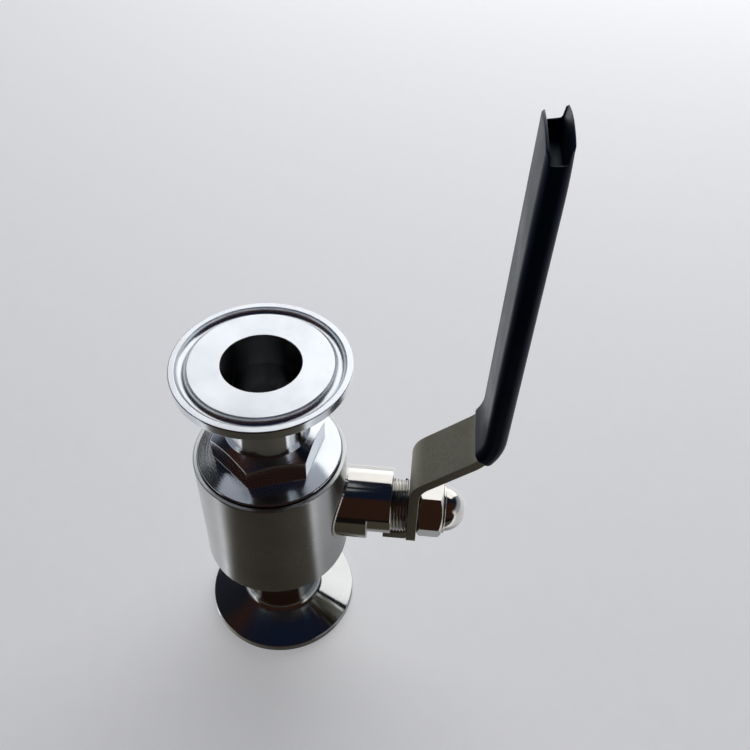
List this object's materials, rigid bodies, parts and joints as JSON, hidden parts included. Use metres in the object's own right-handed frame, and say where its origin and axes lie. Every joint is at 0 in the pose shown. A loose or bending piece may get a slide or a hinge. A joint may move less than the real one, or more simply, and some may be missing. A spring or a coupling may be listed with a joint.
{
  "type": "sanitary clamp ball valve",
  "caption": "Two-way ball valve with clamp ferrule ends on a round barrel, side stem with packing, and a cranked flat lever with a sleeve grip.",
  "frame": {"origin": "centre of the lower ferrule's face, on which the valve stands", "axes": "+Z along the flow line to the upper ferrule, +X along the stem to the lever, lever up in the open position"},
  "size_m": [0.0959, 0.0506, 0.1925],
  "materials": {
    "stainless_turned": "turned, fine satin",
    "stainless_polished": "polished",
    "stainless_blasted": "bead blasted",
    "ptfe": "smooth, waxy",
    "rubber": "moulded",
    "vinyl_black": "soft satin"
  },
  "bodies": {
    "valve": {"valve_body": "stainless_turned", "end_plug": "stainless_turned", "body_gasket": "ptfe", "lower_seat": "ptfe", "upper_seat": "ptfe", "thrust_washer": "ptfe", "bonnet": "stainless_turned", "packing_base_ring": "ptfe", "packing_ring_1": "ptfe", "packing_ring_2": "ptfe", "packing_ring_3": "ptfe", "packing_follower": "stainless_turned", "gland_nut": "stainless_turned"},
    "stem_and_handle": {"stem": "stainless_turned", "stem_o_ring": "rubber", "handle_lever": "stainless_blasted", "grip_sleeve": "vinyl_black", "acorn_nut": "stainless_polished"},
    "ball": {"ball": "stainless_polished"}
  },
  "joints": [
    {"name": "handle_turn", "type": "hinge", "parent": "valve", "child": "stem_and_handle", "pos_m": [0, 0, 0.057], "axis": [-1, 0, 0], "range_deg": [0, 90]},
    {"name": "ball_turn", "type": "hinge", "parent": "valve", "child": "ball", "pos_m": [0, 0, 0.057], "axis": [-1, 0, 0], "range_deg": [0, 90]}
  ],
  "couplings": [
    {"joint": "ball_turn", "follows": "handle_turn", "ratio": 1}
  ]
}
